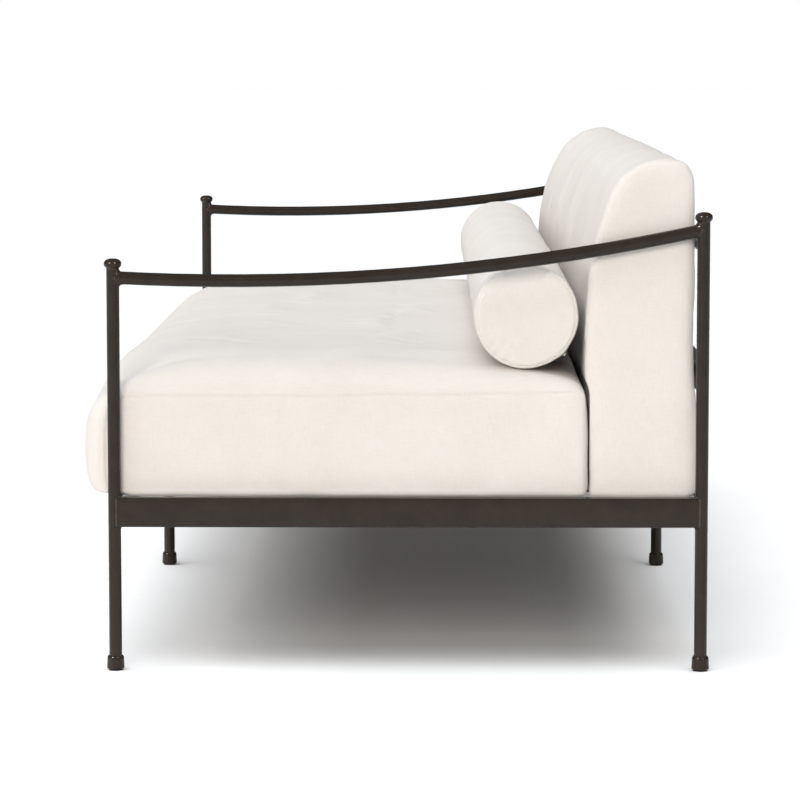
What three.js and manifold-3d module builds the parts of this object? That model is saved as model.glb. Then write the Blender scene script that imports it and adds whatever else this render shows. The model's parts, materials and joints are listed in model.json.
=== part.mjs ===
// A daybed: a welded round-bar steel frame on six feet, a slatted seat deck, a bench seat
// cushion, a long back cushion and a round bolster, each cushion closed by a zip.
// Millimetres, +Z up, +X along the length, the sitter faces -Y. Origin: floor, centre of the box.
import * as THREE from "three";
import { mergeVertices } from "three/addons/utils/BufferGeometryUtils.js";
import Module from "manifold-3d";

const wasm = await Module();
wasm.setup();

// ---- driving dimensions ----
const LENGTH = 2110; // between post centres, along X
const DEPTH = 863; // between post centres, along Y
const BAR = 19; // diameter of posts, legs, arm rails and back top rail
const WALL = 1.5; // wall of every tube
const FIT = 0.3; // gap kept between pieces that touch

const RAIL_HEIGHT = 43.5; // seat rails, rectangular tube as wide as the posts
const RAIL_BOTTOM = 213.5;
const RAIL_TOP = RAIL_BOTTOM + RAIL_HEIGHT;
const CORNER = 2; // outside corner radius of rectangular tube

const ARM_FRONT = 580.5; // height of the arm rail's centre at the front post
const ARM_REAR = 650.5; // and at the rear post
const ARM_SAG = 29; // how far its arc hangs below the straight line between them
const POST_FRONT_TOP = 593;
const POST_REAR_TOP = 661;

const BACK_RAIL = 626; // centre height of the back top rail
const BACK_BAR_BOTTOM = 415; // lumbar bar of the back
const BACK_BAR_HEIGHT = 40;

const SLATS_PER_SIDE = 5; // on each side of the centre cross rail
const SLAT_WIDTH = 40;
const SLAT_THICKNESS = 12;

const FINIAL_RADIUS = 12.5;
const FINIAL_HEIGHT = 14;
const FOOT_RADIUS = 12.6;
const FOOT_TOP = 22;
const GLIDE_RADIUS = 10.4;
const GLIDE_THICKNESS = 1.6;
const FOOT_FLOOR = 5; // top of the web inside the foot that carries the post

const CUSHION_END = 1042; // half length of the seat and back cushions
const CUSHION_BOTTOM = RAIL_TOP + 1;
const SEAT_OVERHANG = 42.5; // seat cushion past the front posts' centres
const SEAT_REAR = 264;
const SEAT_SEAM = 400; // where the sides end and the crowned top begins
const SEAT_CROWN = 470;
const BACK_FRONT = 267;
const BACK_REAR = DEPTH / 2 - BAR / 2 - 1;
const BACK_TOP = 751;
const BOLSTER_RADIUS = 77;
const BOLSTER_HALF = 1020;
const BOLSTER_Y = 174;
const BOLSTER_Z = 521;

const SEAT_CORNER = 22; // bottom corners of the seat cushion
const BACK_CORNER = 18; // lower and upper rear corners of the back cushion
const SEAT_PANEL_EDGE = 12; // how softly the end panels turn into the sides
const BACK_PANEL_EDGE = 14;
const SEAT_PUFF = 80; // the crown of the cushion grows over this length at each end
const BACK_PUFF = 60;
const BOLSTER_EDGE = 12;

const ZIP_HALF = 900; // half length of the zips of the seat and back cushions
const ZIP_END = 14; // how far the bolster's zip stays from its end
const TAPE_WIDTH = 22;
const TAPE_THICKNESS = 0.9;
const SLIDER_LENGTH = 11;
const SLIDER_WIDTH = 8;
const SLIDER_HEIGHT = 2.2;
const PULL_LENGTH = 14;
const PULL_WIDTH = 4;

const TUBE_SIDES = 24;
const TURNED_SIDES = 20;
const CORNER_STEPS = 2;
const PROFILE_STEPS = 4;

// ---- derived ----
const postX = LENGTH / 2;
const postY = DEPTH / 2;
const barRadius = BAR / 2;
const seatFront = -postY - SEAT_OVERHANG;
const shiftY = (SEAT_OVERHANG - Math.max(FINIAL_RADIUS, FOOT_RADIUS)) / 2; // origin midway in depth

const bronze = () =>
  new THREE.MeshStandardMaterial({ color: 0x3d3731, roughness: 0.42, metalness: 0.35 });
const linen = () =>
  new THREE.MeshStandardMaterial({ color: 0xefe9de, roughness: 0.95, metalness: 0 });
const nylon = () =>
  new THREE.MeshStandardMaterial({ color: 0x1c1b1a, roughness: 0.6, metalness: 0 });
const zipper = () =>
  new THREE.MeshStandardMaterial({ color: 0xe6dfd2, roughness: 0.5, metalness: 0 });

const daybed = new THREE.Group();
daybed.position.y = shiftY;

// Adds one named piece to a group, at a place.
function add(group, name, geometry, material, x = 0, y = 0, z = 0) {
  const mesh = new THREE.Mesh(geometry, material);
  mesh.name = name;
  mesh.position.set(x, y, z);
  group.add(mesh);
}

// ---- solids ----
function solidOf(geometry) {
  const bare = new THREE.BufferGeometry();
  bare.setAttribute("position", geometry.getAttribute("position"));
  bare.setIndex(geometry.index);
  const merged = mergeVertices(bare, 1e-4);
  const mesh = new wasm.Mesh({
    numProp: 3,
    vertProperties: merged.attributes.position.array,
    triVerts: new Uint32Array(merged.index.array),
  });
  return new wasm.Manifold(mesh);
}

function geometryOf(solid) {
  const mesh = solid.getMesh();
  const geometry = new THREE.BufferGeometry();
  geometry.setAttribute("position", new THREE.BufferAttribute(mesh.vertProperties, 3));
  geometry.setIndex(new THREE.BufferAttribute(mesh.triVerts, 1));
  return geometry;
}

// The geometry with every tool cut away from it.
function cut(geometry, ...tools) {
  return geometryOf(tools.reduce((rest, tool) => rest.subtract(solidOf(tool)), solidOf(geometry)));
}

// Turns a closed profile of [radius, height] pairs about the Z axis.
function turned(profile, sides) {
  const points = profile.map(([r, h]) => new THREE.Vector2(r, h));
  return new THREE.LatheGeometry(points, sides).rotateX(Math.PI / 2);
}

// The corners of a drawn outline, with its curves in short straight steps.
function outlinePoints(path) {
  return path.getPoints(PROFILE_STEPS).map((point) => [point.x, point.y]);
}

// A vertical cylinder standing on z = 0, for cutting copes.
function cutter(radius, height) {
  return turned([[0, 0], [radius, 0], [radius, height], [0, height]], 2 * TUBE_SIDES);
}

// A vertical round tube between two heights.
function tube(bottom, top) {
  const inner = barRadius - WALL;
  const ring = [[inner, bottom], [barRadius, bottom], [barRadius, top], [inner, top], [inner, bottom]];
  return turned(ring, TUBE_SIDES);
}

// Section axes: a shape's x and y become the first two, and it is extruded along the third.
const ALONG_X = new THREE.Matrix4().makeBasis(
  new THREE.Vector3(0, 1, 0),
  new THREE.Vector3(0, 0, 1),
  new THREE.Vector3(1, 0, 0),
);
const ALONG_Y = new THREE.Matrix4().makeBasis(
  new THREE.Vector3(-1, 0, 0),
  new THREE.Vector3(0, 0, 1),
  new THREE.Vector3(0, 1, 0),
);

// A straight bar of any section, centred on the origin along the chosen axes.
function bar(section, length, axes) {
  const curveSegments = section.curves.length > 1 ? CORNER_STEPS : TUBE_SIDES / 2;
  return new THREE.ExtrudeGeometry(section, { depth: length, bevelEnabled: false, curveSegments })
    .translate(0, 0, -length / 2)
    .applyMatrix4(axes);
}

function roundedBox(shape, width, height, radius) {
  const x = width / 2;
  const y = height / 2;
  shape.moveTo(-x + radius, -y);
  shape.lineTo(x - radius, -y);
  shape.absarc(x - radius, -y + radius, radius, -Math.PI / 2, 0, false);
  shape.lineTo(x, y - radius);
  shape.absarc(x - radius, y - radius, radius, 0, Math.PI / 2, false);
  shape.lineTo(-x + radius, y);
  shape.absarc(-x + radius, y - radius, radius, Math.PI / 2, Math.PI, false);
  shape.lineTo(-x, -y + radius);
  shape.absarc(-x + radius, -y + radius, radius, Math.PI, 1.5 * Math.PI, false);
  return shape;
}

// Rectangular tube section, hollow.
function boxSection(width, height) {
  const section = roundedBox(new THREE.Shape(), width, height, CORNER);
  const hole = new THREE.Path();
  const x = width / 2 - WALL;
  const y = height / 2 - WALL;
  hole.moveTo(-x, -y);
  hole.lineTo(-x, y);
  hole.lineTo(x, y);
  hole.lineTo(x, -y);
  hole.lineTo(-x, -y);
  section.holes.push(hole);
  return section;
}

function circle(target, radius) {
  target.absarc(0, 0, radius, 0, 2 * Math.PI, false);
  return target;
}

// Round tube section, hollow.
function roundSection() {
  const section = circle(new THREE.Shape(), barRadius);
  section.holes.push(circle(new THREE.Path(), barRadius - WALL));
  return section;
}

// ---- turned pieces ----
// Button finial: a short neck under a rounded bulb, with a spigot in the post.
function finialGeometry() {
  const spigot = barRadius - WALL - FIT;
  const spigotDepth = 14;
  const neckHeight = 1.2;
  const rimHeight = 6.8;
  const outline = new THREE.Path();
  outline.moveTo(0, -spigotDepth);
  outline.lineTo(spigot, -spigotDepth);
  outline.lineTo(spigot, FIT);
  outline.lineTo(barRadius - 0.2, FIT);
  outline.lineTo(barRadius - 0.2, neckHeight);
  outline.quadraticCurveTo(FINIAL_RADIUS, neckHeight + 1.8, FINIAL_RADIUS, rimHeight);
  outline.bezierCurveTo(FINIAL_RADIUS, FINIAL_HEIGHT - 2.5, 7, FINIAL_HEIGHT, 0, FINIAL_HEIGHT);
  return turned(outlinePoints(outline), TURNED_SIDES);
}

// Foot: a cup with a domed shoulder; the post stands on its web and a glide plugs in below.
function footGeometry() {
  const bore = barRadius + FIT;
  const stemHole = 4.5;
  const chamfer = 1.6;
  const base = GLIDE_THICKNESS + FIT;
  const outline = new THREE.Path();
  outline.moveTo(stemHole, base);
  outline.lineTo(FOOT_RADIUS - chamfer, base);
  outline.lineTo(FOOT_RADIUS, base + chamfer);
  outline.lineTo(FOOT_RADIUS - 0.6, FOOT_TOP - 7);
  outline.quadraticCurveTo(FOOT_RADIUS - 0.9, FOOT_TOP - 1.5, bore + 0.2, FOOT_TOP);
  outline.lineTo(bore, FOOT_TOP - 0.4);
  outline.lineTo(bore, FOOT_FLOOR);
  outline.lineTo(stemHole, FOOT_FLOOR);
  outline.lineTo(stemHole, base);
  return turned(outlinePoints(outline), TURNED_SIDES);
}

// Glide: a nylon disc with a stem that plugs up through the foot.
function glideGeometry() {
  const stem = 4.2;
  const stemTop = 12;
  const outline = new THREE.Path();
  outline.moveTo(0, 0);
  outline.lineTo(GLIDE_RADIUS, 0);
  outline.lineTo(GLIDE_RADIUS, GLIDE_THICKNESS);
  outline.lineTo(stem, GLIDE_THICKNESS);
  outline.lineTo(stem, stemTop);
  outline.lineTo(0, stemTop);
  return turned(outlinePoints(outline), TURNED_SIDES);
}

// ---- frame ----
// The arm rail's centre line: an arc through both joints in the plane of the posts.
class ArmArc extends THREE.Curve {
  getPoint(t, target = new THREE.Vector3()) {
    const chord = new THREE.Vector2(DEPTH, ARM_REAR - ARM_FRONT);
    const half = chord.length() / 2;
    const radius = (half * half + ARM_SAG * ARM_SAG) / (2 * ARM_SAG);
    const reach = Math.asin(half / radius);
    const angle = (2 * t - 1) * reach;
    const along = radius * Math.sin(angle);
    const down = radius * (Math.cos(angle) - Math.cos(reach));
    const tilt = chord.angle();
    const y = along * Math.cos(tilt) + down * Math.sin(tilt);
    const z = along * Math.sin(tilt) - down * Math.cos(tilt);
    return target.set(0, y, (ARM_FRONT + ARM_REAR) / 2 + z);
  }
}

function armRailGeometry() {
  const armSteps = 18;
  const rail = new THREE.ExtrudeGeometry(roundSection(), {
    steps: armSteps,
    curveSegments: TUBE_SIDES / 2,
    extrudePath: new ArmArc(),
  });
  const coper = (y) => cutter(barRadius + FIT, BAR * 3).translate(0, y, -BAR * 1.5);
  return cut(rail, coper(-postY).translate(0, 0, ARM_FRONT), coper(postY).translate(0, 0, ARM_REAR));
}

// A bar along one axis whose ends are coped to the posts it meets.
function copedBar(section, length, axes) {
  const rail = bar(section, length, axes);
  const alongX = axes === ALONG_X;
  const tools = [-1, 1].map((side) =>
    cutter(barRadius + FIT, 2 * RAIL_HEIGHT).translate(
      alongX ? (side * length) / 2 : 0,
      alongX ? 0 : (side * length) / 2,
      -RAIL_HEIGHT,
    ),
  );
  return cut(rail, ...tools);
}

// One end of the daybed: two posts, an arm rail and a side rail, with finials and feet.
function addArm(side, x) {
  const arm = new THREE.Group();
  arm.position.x = x;
  daybed.add(arm);
  for (const [place, y, top] of [["front", -postY, POST_FRONT_TOP], ["rear", postY, POST_REAR_TOP]]) {
    add(arm, `post_${place}_${side}`, tube(FOOT_FLOOR + FIT, top), bronze(), 0, y);
    add(arm, `finial_${place}_${side}`, finialGeometry(), bronze(), 0, y, top);
    add(arm, `foot_${place}_${side}`, footGeometry(), bronze(), 0, y);
    add(arm, `glide_${place}_${side}`, glideGeometry(), nylon(), 0, y);
  }
  add(arm, `arm_rail_${side}`, armRailGeometry(), bronze());
  const section = boxSection(BAR, RAIL_HEIGHT);
  const railZ = RAIL_BOTTOM + RAIL_HEIGHT / 2;
  add(arm, `side_rail_${side}`, copedBar(section, DEPTH, ALONG_Y), bronze(), 0, 0, railZ);
}

// Long seat rails, notched round the side rails, with a leg under the middle of each.
function addLongRails() {
  for (const [place, y] of [["front", -postY], ["rear", postY]]) {
    const inward = -Math.sign(y);
    const notch = (sign) =>
      new THREE.BoxGeometry(BAR + 2 * FIT, BAR, 2 * RAIL_HEIGHT)
        .translate((sign * LENGTH) / 2, (inward * BAR) / 2, 0);
    const coped = copedBar(boxSection(BAR, RAIL_HEIGHT), LENGTH, ALONG_X);
    const rail = cut(coped, notch(-1), notch(1));
    add(daybed, `${place}_rail`, rail, bronze(), 0, y, RAIL_BOTTOM + RAIL_HEIGHT / 2);
    add(daybed, `mid_leg_${place}`, tube(FOOT_FLOOR + FIT, RAIL_BOTTOM - FIT), bronze(), 0, y);
    add(daybed, `foot_${place}_middle`, footGeometry(), bronze(), 0, y);
    add(daybed, `glide_${place}_middle`, glideGeometry(), nylon(), 0, y);
  }
}

// Cross members of the seat deck, flush with the top of the rails.
function addDeck() {
  const span = DEPTH - BAR - 2 * FIT;
  const cross = bar(boxSection(BAR, RAIL_HEIGHT), span, ALONG_Y);
  add(daybed, "centre_cross_rail", cross, bronze(), 0, 0, RAIL_BOTTOM + RAIL_HEIGHT / 2);
  const pitch = LENGTH / (2 * (SLATS_PER_SIDE + 1));
  const slatZ = RAIL_TOP - SLAT_THICKNESS / 2;
  for (const [side, sign] of [["left", -1], ["right", 1]]) {
    for (let i = 1; i <= SLATS_PER_SIDE; i++) {
      const slat = bar(boxSection(SLAT_WIDTH, SLAT_THICKNESS), span, ALONG_Y);
      add(daybed, `slat_${side}_${i}`, slat, bronze(), sign * i * pitch, 0, slatZ);
    }
  }
}

// The back: a round top rail, a lumbar bar in two halves and a middle upright.
function addBack() {
  const topRail = copedBar(roundSection(), LENGTH, ALONG_X);
  add(daybed, "back_top_rail", topRail, bronze(), 0, postY, BACK_RAIL);
  add(daybed, "back_upright", tube(RAIL_TOP + FIT, BACK_RAIL - barRadius - FIT), bronze(), 0, postY);
  const barZ = BACK_BAR_BOTTOM + BACK_BAR_HEIGHT / 2;
  for (const [side, sign] of [["left", -1], ["right", 1]]) {
    const half = copedBar(boxSection(BAR, BACK_BAR_HEIGHT), LENGTH / 2, ALONG_X);
    add(daybed, `back_bar_${side}`, half, bronze(), (sign * LENGTH) / 4, postY, barZ);
  }
}

// ---- cushions ----
// Skins a row of rings, each the same number of points in the same order, into a closed solid.
// The end rings are flat and convex.
function loft(rings) {
  const count = rings[0].length;
  const index = [];
  for (let i = 0; i + 1 < rings.length; i++) {
    for (let j = 0; j < count; j++) {
      const a = i * count + j;
      const b = i * count + ((j + 1) % count);
      index.push(a, b, b + count, a, b + count, a + count);
    }
  }
  const last = (rings.length - 1) * count;
  for (let j = 1; j + 1 < count; j++) {
    index.push(0, j + 1, j);
    index.push(last, last + j, last + j + 1);
  }
  const geometry = new THREE.BufferGeometry();
  geometry.setAttribute("position", new THREE.Float32BufferAttribute(rings.flat(2), 3));
  geometry.setIndex(index);
  return geometry;
}

// A cushion along X. Its section is full in the middle; towards each end it shrinks to the end
// panel: everything within the panel's edge radius, and the puffed part by a wider easing.
function cushion(section, panelEdge, puff) {
  const outline = section.extractPoints(5).shape;
  const centre = new THREE.Box2().setFromPoints(outline).getCenter(new THREE.Vector2());
  const ease = (inset, reach) => Math.sqrt(1 - (1 - Math.min(inset / reach, 1)) ** 2);
  const insets = [0, 0.15, 0.5, 1].map((share) => share * panelEdge);
  for (const share of [0.35, 0.65, 1]) {
    insets.push(panelEdge + share * (puff.reach - panelEdge));
  }
  const ringAt = (inset, sign) =>
    outline.map((point) => {
      const edge = panelEdge * (1 - ease(inset, panelEdge));
      const flat = puff.flatten(point);
      const fill = ease(inset, puff.reach);
      const y = flat.x + (point.x - flat.x) * fill;
      const z = flat.y + (point.y - flat.y) * fill;
      const pull = new THREE.Vector2(centre.x - y, centre.y - z);
      pull.setLength(edge);
      return [sign * (CUSHION_END - inset), y + pull.x, z + pull.y];
    });
  const near = insets.map((inset) => ringAt(inset, 1)).reverse();
  const far = insets.map((inset) => ringAt(inset, -1));
  return loft([...far, ...near]);
}

// The flat bottom of a cushion's section between its lower corners, from front to rear.
function cushionBase(shape, front, rear, corner) {
  shape.moveTo(front + corner, CUSHION_BOTTOM);
  shape.lineTo(rear - corner, CUSHION_BOTTOM);
  shape.absarc(rear - corner, CUSHION_BOTTOM + corner, corner, -Math.PI / 2, 0, false);
}

// The lower front corner, which closes the section.
function frontCorner(shape, front, corner) {
  shape.lineTo(front, CUSHION_BOTTOM + corner);
  shape.absarc(front + corner, CUSHION_BOTTOM + corner, corner, Math.PI, 1.5 * Math.PI, false);
}

function seatSection() {
  const crestY = -80;
  const s = new THREE.Shape();
  cushionBase(s, seatFront, SEAT_REAR, SEAT_CORNER);
  s.lineTo(SEAT_REAR, SEAT_SEAM - 10);
  s.bezierCurveTo(SEAT_REAR, SEAT_SEAM + 50, crestY + 160, SEAT_CROWN, crestY, SEAT_CROWN);
  s.bezierCurveTo(crestY - 240, SEAT_CROWN, seatFront, SEAT_SEAM + 60, seatFront, SEAT_SEAM - 60);
  frontCorner(s, seatFront, SEAT_CORNER);
  return s;
}

function backSection() {
  const shoulderY = BACK_FRONT + 95;
  const slopeStart = 570;
  const s = new THREE.Shape();
  cushionBase(s, BACK_FRONT, BACK_REAR, BACK_CORNER);
  s.lineTo(BACK_REAR, BACK_TOP - 2 * BACK_CORNER);
  s.quadraticCurveTo(BACK_REAR, BACK_TOP - 4, shoulderY + 10, BACK_TOP);
  s.bezierCurveTo(shoulderY - 60, BACK_TOP, BACK_FRONT, slopeStart + 60, BACK_FRONT, slopeStart);
  frontCorner(s, BACK_FRONT, BACK_CORNER);
  return s;
}

// Where a puffed point of each section lies on the flat end panel.
function flattenSeat(point) {
  const crownLeft = 0.12;
  return new THREE.Vector2(point.x, Math.min(point.y, SEAT_SEAM + (point.y - SEAT_SEAM) * crownLeft));
}

function flattenBack(point) {
  const centre = new THREE.Vector2((BACK_FRONT + BACK_REAR) / 2, (CUSHION_BOTTOM + BACK_TOP) / 2);
  const shrink = 0.02;
  return point.clone().lerp(centre, shrink);
}

// The bolster: a round bar of filling with softly rounded ends.
function bolsterGeometry() {
  const profile = [[0, -BOLSTER_HALF]];
  const capSteps = 3;
  for (let i = 0; i <= capSteps; i++) {
    const angle = (i / capSteps) * (Math.PI / 2);
    const radius = BOLSTER_RADIUS - BOLSTER_EDGE * (1 - Math.sin(angle));
    profile.push([radius, -BOLSTER_HALF + BOLSTER_EDGE * (1 - Math.cos(angle))]);
  }
  const mirrored = profile.map(([r, h]) => [r, -h]).reverse();
  return turned([...profile, ...mirrored], 2 * TUBE_SIDES).rotateY(Math.PI / 2);
}

// ---- zips ----
// Each zip lies along X on a round stretch of its cushion: on a circle of that radius about a
// centre line, at an angle below the horizontal. The slider sits at its right-hand end.
const DOWN_AND_BACK = -Math.PI / 4;

function zipTape(radius, angle, length) {
  const inner = radius + FIT;
  const outer = inner + TAPE_THICKNESS;
  const spread = TAPE_WIDTH / 2 / radius;
  const s = new THREE.Shape();
  s.absarc(0, 0, inner, angle + spread, angle - spread, true);
  s.absarc(0, 0, outer, angle - spread, angle + spread, false);
  return new THREE.ExtrudeGeometry(s, { depth: length, bevelEnabled: false, curveSegments: 6 })
    .translate(0, 0, -length / 2)
    .applyMatrix4(ALONG_X);
}

// Slider body with its pull tab lying flat behind it, one casting.
function zipSlider(radius, angle) {
  const taper = 1;
  const s = new THREE.Shape();
  s.moveTo(0, -SLIDER_WIDTH / 2);
  s.lineTo(SLIDER_LENGTH, -SLIDER_WIDTH / 2 + taper);
  s.lineTo(SLIDER_LENGTH, -PULL_WIDTH / 2);
  s.lineTo(SLIDER_LENGTH + PULL_LENGTH, -PULL_WIDTH / 2);
  s.lineTo(SLIDER_LENGTH + PULL_LENGTH, PULL_WIDTH / 2);
  s.lineTo(SLIDER_LENGTH, PULL_WIDTH / 2);
  s.lineTo(SLIDER_LENGTH, SLIDER_WIDTH / 2 - taper);
  s.lineTo(0, SLIDER_WIDTH / 2);
  const lift = radius + FIT + TAPE_THICKNESS + FIT;
  return new THREE.ExtrudeGeometry(s, { depth: SLIDER_HEIGHT, bevelEnabled: false })
    .translate(0, 0, lift)
    .rotateX(angle - Math.PI / 2);
}

function addZip(name, y, z, radius, halfLength) {
  const zip = new THREE.Group();
  zip.position.set(0, y, z);
  daybed.add(zip);
  const tape = zipTape(radius, DOWN_AND_BACK, 2 * halfLength);
  add(zip, `${name}_zip_tape`, tape, zipper());
  const slider = zipSlider(radius, DOWN_AND_BACK);
  add(zip, `${name}_zip_slider`, slider, zipper(), halfLength - 2 * SLIDER_LENGTH);
}

function addCushions() {
  const nest = turned(
    [[0, -LENGTH], [BOLSTER_RADIUS + FIT, -LENGTH], [BOLSTER_RADIUS + FIT, LENGTH], [0, LENGTH]],
    4 * TUBE_SIDES,
  )
    .rotateY(Math.PI / 2)
    .translate(0, BOLSTER_Y, BOLSTER_Z);
  const seatPuff = { reach: SEAT_PUFF, flatten: flattenSeat };
  const seat = cushion(seatSection(), SEAT_PANEL_EDGE, seatPuff);
  add(daybed, "seat_cushion", cut(seat, nest), linen());
  const backPuff = { reach: BACK_PUFF, flatten: flattenBack };
  const back = cushion(backSection(), BACK_PANEL_EDGE, backPuff);
  add(daybed, "back_cushion", back, linen());
  add(daybed, "bolster", bolsterGeometry(), linen(), 0, BOLSTER_Y, BOLSTER_Z);

  for (const [name, rear, corner] of [["seat", SEAT_REAR, SEAT_CORNER], ["back", BACK_REAR, BACK_CORNER]]) {
    addZip(name, rear - corner, CUSHION_BOTTOM + corner, corner, ZIP_HALF);
  }
  addZip("bolster", BOLSTER_Y, BOLSTER_Z, BOLSTER_RADIUS, BOLSTER_HALF - ZIP_END);
}

addArm("right", postX);
addArm("left", -postX);
addLongRails();
addDeck();
addBack();
addCushions();

export default daybed;
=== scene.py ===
import json
import math

import bmesh
import bpy
import numpy as np
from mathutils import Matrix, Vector, kdtree
from mathutils.bvhtree import BVHTree

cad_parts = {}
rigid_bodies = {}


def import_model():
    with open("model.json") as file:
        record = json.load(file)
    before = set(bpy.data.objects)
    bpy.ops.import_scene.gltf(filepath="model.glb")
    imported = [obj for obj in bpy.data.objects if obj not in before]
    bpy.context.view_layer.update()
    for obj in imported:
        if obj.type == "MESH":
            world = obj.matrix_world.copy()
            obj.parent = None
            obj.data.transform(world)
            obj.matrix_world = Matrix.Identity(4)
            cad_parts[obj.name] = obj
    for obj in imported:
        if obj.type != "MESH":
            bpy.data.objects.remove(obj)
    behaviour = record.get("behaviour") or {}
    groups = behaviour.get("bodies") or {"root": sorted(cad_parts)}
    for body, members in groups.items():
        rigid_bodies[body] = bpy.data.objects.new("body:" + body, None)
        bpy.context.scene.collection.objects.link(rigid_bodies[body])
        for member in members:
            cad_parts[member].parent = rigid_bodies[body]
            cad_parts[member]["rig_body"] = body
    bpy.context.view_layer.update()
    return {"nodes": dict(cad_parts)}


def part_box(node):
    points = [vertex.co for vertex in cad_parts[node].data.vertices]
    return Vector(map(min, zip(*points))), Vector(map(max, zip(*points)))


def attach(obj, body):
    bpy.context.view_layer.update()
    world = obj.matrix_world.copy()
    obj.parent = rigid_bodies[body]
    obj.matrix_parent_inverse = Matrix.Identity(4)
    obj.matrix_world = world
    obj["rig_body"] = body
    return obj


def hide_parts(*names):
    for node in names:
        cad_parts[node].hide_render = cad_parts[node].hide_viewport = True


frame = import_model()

MM = 0.001

# ---- places read off the frame, in metres ----


def low(node):
    """The lowest corner of a CAD node's box at rest."""
    return Vector(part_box(node)[0])


def high(node):
    """The highest corner of a CAD node's box at rest."""
    return Vector(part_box(node)[1])


def centre(node):
    return (low(node) + high(node)) / 2


POSTS = [f"{place}_{side}" for place in ("front", "rear") for side in ("left", "right")]
LEGS = ["front", "rear"]
BAR_RADIUS = (high("post_front_right").x - low("post_front_right").x) / 2
MID_Y = (centre("post_front_right").y + centre("post_rear_right").y) / 2
RAIL_TOP = high("side_rail_right").z
RAIL_BOTTOM = low("side_rail_right").z
CUSHION_END = high("seat_cushion").x
BOLSTER_END = high("bolster").x
BOLSTER_CENTRE = centre("bolster")
BOLSTER_RADIUS = (high("bolster").z - low("bolster").z) / 2

# ---- materials ----


class Shader:
    """A node material in the making, with one Principled surface."""

    def __init__(self, name, **surface):
        self.material = bpy.data.materials.new(name)
        self.material.use_nodes = True
        self.nodes = self.material.node_tree.nodes
        self.surface = self.nodes["Principled BSDF"]
        for socket, value in surface.items():
            self.surface.inputs[socket.replace("_", " ")].default_value = value
        self.place = self.add("ShaderNodeTexCoord").outputs["Object"]

    def add(self, kind, settings=None, **inputs):
        """A node: settings are its own properties, and inputs are values or sockets to link."""
        node = self.nodes.new(kind)
        for name, value in (settings or {}).items():
            setattr(node, name, value)
        for name, value in inputs.items():
            self.set(node.inputs[name.replace("_", " ")], value)
        return node

    def set(self, socket, value):
        if isinstance(value, bpy.types.NodeSocket):
            self.material.node_tree.links.new(value, socket)
        else:
            socket.default_value = value

    def noise(self, scale, detail=3.0, roughness=0.5, stretch=(1, 1, 1)):
        place = self.add("ShaderNodeMapping", Vector=self.place, Scale=stretch).outputs[0]
        settings = {"Scale": scale, "Detail": detail, "Roughness": roughness}
        return self.add("ShaderNodeTexNoise", Vector=place, **settings).outputs["Fac"]

    def bands(self, axis, period, wander):
        """Parallel ridges of one period along an axis, wandering a little."""
        settings = {"wave_type": "BANDS", "bands_direction": axis}
        inputs = {"Scale": math.tau / 20 / period, "Distortion": wander, "Detail": 1.0}
        return self.add("ShaderNodeTexWave", settings, Vector=self.place, **inputs).outputs["Fac"]

    def math(self, operation, a, b):
        node = self.add("ShaderNodeMath", {"operation": operation})
        self.set(node.inputs[0], a)
        self.set(node.inputs[1], b)
        return node.outputs[0]

    def ramp(self, value, stops):
        """A smooth map from the value to colours, or to greys where a stop is one number."""
        node = self.add("ShaderNodeValToRGB", Fac=value)
        elements = node.color_ramp.elements
        while len(elements) < len(stops):
            elements.new(0.5)
        for element, (at, colour) in zip(elements, stops):
            element.position = at
            rgb = colour if isinstance(colour, tuple) else (colour, colour, colour)
            element.color = (*rgb, 1)
        return node.outputs["Color"]

    def finish(self, colour, roughness, height, distance):
        """Links the surface's colour, roughness and bump, which is distance metres deep."""
        self.set(self.surface.inputs["Base Color"], colour)
        self.set(self.surface.inputs["Roughness"], roughness)
        bump = self.add("ShaderNodeBump", Height=height, Distance=distance, Strength=1.0)
        self.set(self.surface.inputs["Normal"], bump.outputs[0])
        return self.material


def linen_material():
    """Off-white plain-weave linen: threads, slubs along both threads, and a soft mottling."""
    s = Shader("linen", Specular_IOR_Level=0.25, Sheen_Weight=0.12, Sheen_Roughness=0.6)
    fine, coarse = 900, 55
    slub = None
    for stretch in ((coarse, fine, fine), (fine, coarse, fine), (fine, fine, coarse)):
        streak = s.noise(1.0, 2.0, 0.6, stretch)
        slub = streak if slub is None else s.math("ADD", slub, streak)
    slub = s.math("DIVIDE", slub, 3.0)
    thread_pitch = 1.3 * MM
    weave = None
    for axis in ("X", "Y", "Z"):
        thread = s.bands(axis, thread_pitch, 1.2)
        weave = thread if weave is None else s.math("ADD", weave, thread)
    cloud = s.noise(7.0, 4.0, 0.55)
    tone = s.math("ADD", s.math("MULTIPLY", slub, 0.72), s.math("MULTIPLY", cloud, 0.28))
    dark, plain, pale = (0.605, 0.552, 0.503), (0.650, 0.600, 0.552), (0.690, 0.643, 0.596)
    colour = s.ramp(tone, [(0.36, dark), (0.5, plain), (0.64, pale)])
    roughness = s.ramp(slub, [(0.35, 0.82), (0.65, 0.96)])
    height = s.math("ADD", s.math("MULTIPLY", weave, 0.22), s.math("MULTIPLY", slub, 0.9))
    return s.finish(colour, roughness, height, 0.22 * MM)


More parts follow.
